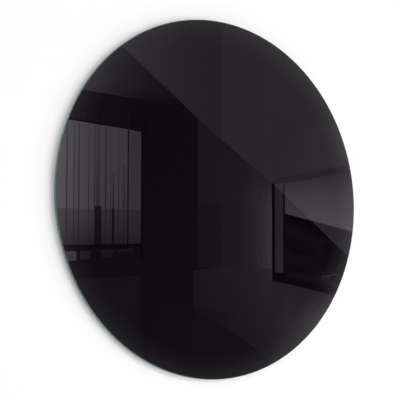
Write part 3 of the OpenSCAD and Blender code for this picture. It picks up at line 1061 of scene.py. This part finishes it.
cards = {
    "farRoom": (0, "plain", [
        [(-1.08, -1.2, 0.14), (1.2, -1.2, 0.14)],
        [(-1.08, 0.0, 0.112), (1.2, 0.0, 0.112)],
        [(-1.08, 1.2, 0.10), (1.2, 1.2, 0.10)]]),
    "ceilingLeft": (1, "plain", [
        [(-1.08, 0.52, 0.90), (-0.85, 0.52, 0.70), (-0.65, 0.51, 0.34), (-0.45, 0.50, 0.12),
         (-0.15, 0.47, 0.09)],
        [(-1.08, 0.62, 0.90), (-0.85, 0.61, 0.74), (-0.65, 0.59, 0.43), (-0.45, 0.56, 0.23),
         (-0.15, 0.53, 0.10)],
        [(-1.08, 0.85, 0.83), (-0.85, 0.80, 0.70), (-0.65, 0.75, 0.42), (-0.45, 0.70, 0.27),
         (-0.15, 0.62, 0.10)],
        [(-1.08, 1.2, 0.73), (-0.85, 1.2, 0.60), (-0.65, 1.2, 0.38), (-0.45, 1.2, 0.16),
         (-0.15, 1.2, 0.09)]]),
    "ceilingRight": (1, "plain", [
        [(0.385, 0.10, 0.10), (0.60, 0.14, 0.16), (0.80, 0.18, 0.19), (1.1, 0.25, 0.12)],
        [(0.385, 0.50, 0.09), (0.60, 0.50, 0.10), (0.80, 0.50, 0.20), (1.1, 0.50, 0.45)]]),
    "floorDark": (1, "plain", [
        [(-0.155, -1.1, 0.14), (0.55, -1.1, 0.22)],
        [(-0.155, -0.60, 0.15), (0.55, -0.60, 0.18)]]),
    "curtainHead": (2, "plain", [
        [(-1.08, 0.36, 0.19), (-0.85, 0.35, 0.22), (-0.75, 0.34, 0.15), (-0.46, 0.31, 0.08)],
        [(-1.08, 0.52, 0.20), (-0.85, 0.51, 0.20), (-0.72, 0.505, 0.15), (-0.46, 0.495, 0.10)]]),
    "leftWindow": (3, "plain", [
        [(-1.1, -0.105, 2.20), (-0.85, -0.10, 1.42), (-0.75, -0.097, 1.10), (-0.57, -0.092, 0.86),
         (-0.475, -0.09, 0.73)],
        [(-1.1, 0.13, 2.30), (-0.85, 0.13, 1.42), (-0.75, 0.13, 1.10), (-0.57, 0.13, 0.96),
         (-0.475, 0.13, 0.73)],
        [(-1.1, 0.365, 2.00), (-0.85, 0.352, 1.38), (-0.75, 0.345, 1.08), (-0.57, 0.335, 0.92),
         (-0.475, 0.325, 0.72)]]),
    "windowTop": (6, "plain", [
        [(-1.08, 0.366, 0.05), (-0.70, 0.343, 0.06)],
        [(-1.08, 0.380, 0.07), (-0.70, 0.352, 0.12)]]),
    "lastCurtain": (4, "plain", [
        [(-0.560, -0.092, 0.75), (-0.485, -0.09, 0.73)],
        [(-0.560, 0.332, 0.72), (-0.485, 0.327, 0.70)]]),
    "landBeyond": (3, "plain", [
        [(-1.1, -0.30, 0.68), (-0.85, -0.29, 0.42), (-0.75, -0.285, 0.30), (-0.57, -0.277, 0.33),
         (-0.475, -0.272, 0.30)],
        [(-1.1, -0.20, 1.25), (-0.85, -0.20, 0.77), (-0.75, -0.20, 0.55), (-0.57, -0.20, 0.49),
         (-0.475, -0.20, 0.45)],
        [(-1.1, -0.105, 1.30), (-0.85, -0.10, 1.05), (-0.75, -0.097, 0.74), (-0.57, -0.092, 0.58),
         (-0.475, -0.09, 0.52)]]),
    "rail": (6, "plain", [
        [(-1.1, -0.322, 0.12), (-0.475, -0.290, 0.08)],
        [(-1.1, -0.296, 0.12), (-0.475, -0.268, 0.08)]]),
    "lowPaneA": (6, "plain", [
        [(-0.97, -0.372, 0.9), (-0.868, -0.366, 0.9)],
        [(-0.97, -0.322, 0.9), (-0.868, -0.318, 0.9)]]),
    "lowPaneB": (6, "plain", [
        [(-0.845, -0.362, 0.28), (-0.788, -0.358, 0.26)],
        [(-0.845, -0.316, 0.34), (-0.788, -0.313, 0.32)]]),
    "lowPaneC": (6, "plain", [
        [(-0.72, -0.350, 0.16), (-0.655, -0.345, 0.16)],
        [(-0.72, -0.308, 0.30), (-0.655, -0.305, 0.28)]]),
    "lowPaneD": (6, "plain", [
        [(-0.62, -0.340, 0.10), (-0.535, -0.336, 0.12)],
        [(-0.62, -0.303, 0.24), (-0.535, -0.294, 0.22)]]),
    "floorLeft": (2, "plain", [
        [(-1.1, -0.95, 0.26), (-0.70, -0.95, 0.20), (-0.50, -0.95, 0.15), (-0.43, -0.95, 0.11)],
        [(-1.1, -0.46, 0.26), (-0.70, -0.45, 0.18), (-0.50, -0.44, 0.18), (-0.46, -0.44, 0.11)]]),
    "nearWallLow": (2, "plain", [
        [(-0.125, -0.390, 0.185), (0.03, -0.388, 0.21)],
        [(-0.125, -0.045, 0.185), (0.03, -0.040, 0.21)]]),
    "nearWall": (2, "plain", [
        [(-0.125, -0.045, 0.225), (0.03, -0.040, 0.245)],
        [(-0.125, 0.434, 0.22), (0.03, 0.330, 0.235)]]),
    "farWall": (2, "plain", [
        [(0.03, -0.388, 0.25), (0.15, -0.388, 0.29), (0.25, -0.388, 0.36), (0.30, -0.388, 0.50),
         (0.385, -0.388, 0.66)],
        [(0.03, -0.040, 0.245), (0.15, -0.040, 0.28), (0.25, -0.040, 0.38), (0.30, -0.040, 0.51),
         (0.385, -0.040, 0.72)],
        [(0.03, 0.000, 0.25), (0.15, 0.000, 0.30), (0.25, 0.000, 0.42), (0.30, 0.000, 0.48),
         (0.385, 0.000, 0.62)],
        [(0.03, 0.330, 0.23), (0.15, 0.255, 0.25), (0.25, 0.192, 0.29), (0.30, 0.160, 0.34),
         (0.385, 0.107, 0.42)]]),
    "lowWall": (2, "plain", [
        [(-0.155, -0.640, 0.15), (0.00, -0.690, 0.18), (0.15, -0.765, 0.24), (0.25, -0.830, 0.26),
         (0.385, -0.930, 0.24)],
        [(-0.155, -0.600, 0.19), (0.00, -0.600, 0.24), (0.15, -0.600, 0.28), (0.25, -0.600, 0.31),
         (0.385, -0.600, 0.38)],
        [(-0.155, -0.405, 0.22), (0.00, -0.388, 0.28), (0.15, -0.388, 0.31), (0.25, -0.388, 0.36),
         (0.385, -0.388, 0.46)]]),
    "floorRight": (2, "plain", [
        [(0.385, -1.1, 0.24), (0.50, -1.1, 0.34), (0.65, -1.1, 0.55), (0.80, -1.1, 0.70),
         (1.1, -1.1, 0.70)],
        [(0.385, -0.70, 0.38), (0.50, -0.70, 0.48), (0.65, -0.68, 0.66), (0.80, -0.66, 0.90),
         (1.1, -0.66, 0.90)],
        [(0.385, -0.458, 0.38), (0.50, -0.475, 0.37), (0.65, -0.502, 0.36), (0.80, -0.530, 0.40),
         (1.1, -0.585, 0.6)]]),
    "windowHead": (4, "plain", [
        [(0.385, 0.090, 0.05), (1.1, 0.230, 0.05)],
        [(0.385, 0.122, 0.05), (1.1, 0.280, 0.05)]]),
    "rightPane": (3, "plain", [
        [(0.475, -0.068, 0.85), (0.70, -0.108, 1.02), (1.1, -0.178, 1.20)],
        [(0.475, 0.030, 0.64), (0.70, 0.040, 0.68), (1.1, 0.060, 0.60)],
        [(0.475, 0.110, 0.31), (0.70, 0.155, 0.24), (1.1, 0.232, 0.10)]]),
    "rightLand": (3, "rippled", [
        [(0.475, -0.415, 0.10), (0.70, -0.455, 0.13), (1.1, -0.540, 0.13)],
        [(0.475, -0.065, 0.11), (0.70, -0.103, 0.06), (1.1, -0.172, 0.04)]]),
    "windowPost": (4, "plain", [
        [(0.385, -0.455, 0.05), (0.480, -0.455, 0.07)],
        [(0.385, 0.109, 0.05), (0.480, 0.128, 0.07)]]),
    "postFace": (5, "plain", [
        [(0.405, -0.408, 0.42), (0.440, -0.408, 0.48), (0.466, -0.410, 0.44)],
        [(0.405, 0.095, 0.34), (0.440, 0.102, 0.40), (0.466, 0.108, 0.38)]]),
    "sill": (5, "plain", [
        [(0.385, -0.458, 0.07), (0.50, -0.475, 0.08), (0.83, -0.535, 0.10), (1.1, -0.585, 0.12)],
        [(0.385, -0.420, 0.07), (0.50, -0.438, 0.08), (0.83, -0.502, 0.10), (1.1, -0.550, 0.12)]]),
    "farShoreA": (6, "plain", [
        [(0.745, -0.437, 0.45), (0.865, -0.417, 0.6)],
        [(0.745, -0.428, 0.45), (0.865, -0.408, 0.6)]]),
    "farShoreB": (6, "plain", [
        [(0.735, -0.450, 0.30), (0.815, -0.440, 0.4)],
        [(0.735, -0.443, 0.30), (0.815, -0.433, 0.4)]]),
    "glossLeft": (8, "added", [
        alongEdge([0.34, 0.33, 0.29, 0.26]),
        level(alongEdge([0.34, 0.33, 0.29, 0.26]), 1.2)]),
    "glossRight": (8, "added", [
        alongEdge([0.355, 0.37, 0.36, 0.34], 3),
        level(alongEdge([0.355, 0.37, 0.36, 0.34], 3), 1.2)]),
}
# curtain folds and frame: middle, half width, top and its glow, bottom and its glow
folds = [
    (-0.926, 0.004, 0.36, 0.95, -0.29, 0.50), (-0.884, 0.003, 0.35, 1.00, -0.29, 0.40),
    (-0.857, 0.004, 0.35, 0.85, -0.29, 0.35), (-0.800, 0.003, 0.35, 0.95, -0.29, 0.45),
    (-0.745, 0.012, 0.345, 0.98, -0.08, 0.60), (-0.745, 0.021, -0.08, 0.24, -0.35, 0.10),
    (-0.765, 0.003, 0.34, 0.80, -0.28, 0.30), (-0.700, 0.005, 0.34, 0.75, -0.28, 0.30),
    (-0.672, 0.003, 0.34, 0.85, -0.28, 0.32), (-0.655, 0.005, 0.10, 0.72, -0.09, 0.40),
    (-0.655, 0.008, -0.09, 0.20, -0.33, 0.10),
    (-0.622, 0.003, 0.33, 0.75, -0.28, 0.30), (-0.590, 0.005, 0.15, 0.70, -0.28, 0.26),
    (-0.566, 0.004, 0.42, 0.16, -0.36, 0.10), (-0.481, 0.006, 0.335, 0.07, -0.36, 0.07),
    (-0.880, 0.004, 0.46, 0.18, 0.355, 0.12), (-0.812, 0.004, 0.44, 0.15, 0.350, 0.11),
    (-0.738, 0.004, 0.43, 0.13, 0.345, 0.10), (0.283, 0.005, 0.10, 0.42, -0.385, 0.52),
    (0.322, 0.005, 0.05, 0.56, -0.385, 0.64), (0.362, 0.006, 0.08, 0.56, -0.385, 0.74),
]
for i, (across, half, top, topGlow, bottom, bottomGlow) in enumerate(folds):
    cards[f"fold_{i}"] = (5, "plain", [
        [(across - half, bottom, bottomGlow), (across + half, bottom, bottomGlow)],
        [(across - half, top, topGlow), (across + half, top, topGlow)]])

# soft brightening towards the rim, stronger on the right: disc radii and share of the glow
rim = {
    "rings": [(0.86, 0.0), (0.94, 0.22), (1.08, 1.3)],
    "glow": 0.42,
    "toRight": 0.40,
    "steps": 96,
}


def cardFinish(kind):
    finish = bpy.data.materials.new("room_" + kind)
    finish.use_nodes = True
    tree = finish.node_tree
    tree.nodes.remove(tree.nodes["Principled BSDF"])
    glow = tree.nodes.new("ShaderNodeAttribute")
    glow.attribute_name = "glow"
    strength = glow.outputs["Fac"]
    if kind == "rippled":
        ripple = noise(tree, place(tree, (1, 1, 3.5), 0.3), room["rippleScale"], 3.0)
        strength = combine(tree, strength, spread(tree, ripple, 0.55, 1.6), "MULTIPLY")
    light = tree.nodes.new("ShaderNodeEmission")
    light.inputs["Color"].default_value = (*room["tint"], 1)
    if kind != "added":
        bright = spread(tree, glow.outputs["Fac"], 0, 1, *room["dimGlow"])
        color = blendColors(tree, bright, room["dimTint"], room["tint"])
        tree.links.new(color, light.inputs["Color"])
    tree.links.new(strength, light.inputs["Strength"])
    last = light.outputs[0]
    if kind == "added":  # lets what hangs behind it shine through
        clear = tree.nodes.new("ShaderNodeBsdfTransparent")
        both = tree.nodes.new("ShaderNodeAddShader")
        tree.links.new(last, both.inputs[0])
        tree.links.new(clear.outputs[0], both.inputs[1])
        last = both.outputs[0]
    tree.links.new(last, tree.nodes["Material Output"].inputs["Surface"])
    return finish


def mirroredAt(right, up, order):
    # the camera's mirror image looks through the disc at the card
    eye = camera.location.copy()
    eye.y = 2 * faceCentre.y - eye.y
    spot = faceCentre + Vector((right + room["nudge"], 0, up)) * discRadius
    distance = room["distance"] - room["step"] * order
    return eye + (spot - eye) * (1 + distance / (eye.y - faceCentre.y))


def hangCard(name, order, rows, finish):
    bm = bmesh.new()
    layer = bm.verts.layers.float.new("glow")
    bmesh.ops.create_grid(bm, x_segments=len(rows[0]) - 1, y_segments=len(rows) - 1, size=1)
    points = [point for row in rows for point in row]
    for vert, (right, up, glow) in zip(bm.verts, points):
        vert.co = mirroredAt(right, up, order)
        vert[layer] = glow
    mesh = bpy.data.meshes.new(name)
    bm.to_mesh(mesh)
    bm.free()
    mesh.materials.append(finish)
    card = bpy.data.objects.new(name, mesh)
    scene.collection.objects.link(card)
    card.visible_camera = False
    card.visible_diffuse = False
    card.visible_transmission = False
    card.visible_shadow = False
    card.visible_volume_scatter = False


def rimRow(radius, share):
    row = []
    for i in range(rim["steps"] + 1):
        angle = math.tau * i / rim["steps"]
        glow = rim["glow"] + rim["toRight"] * max(0.0, math.cos(angle))
        row.append((radius * math.cos(angle), radius * math.sin(angle), glow * share))
    return row


cards["rim"] = (9, "added", [rimRow(*ring) for ring in rim["rings"]])
cardFinishes = {kind: cardFinish(kind) for kind in ("plain", "rippled", "added")}
for name, (order, kind, rows) in cards.items():
    hangCard("room_" + name, order, rows, cardFinishes[kind])
print("mirrored room:", len(cards), "cards")

scene.view_settings.view_transform = "Standard"
scene.view_settings.look = "None"
scene.cycles.max_bounces = 12
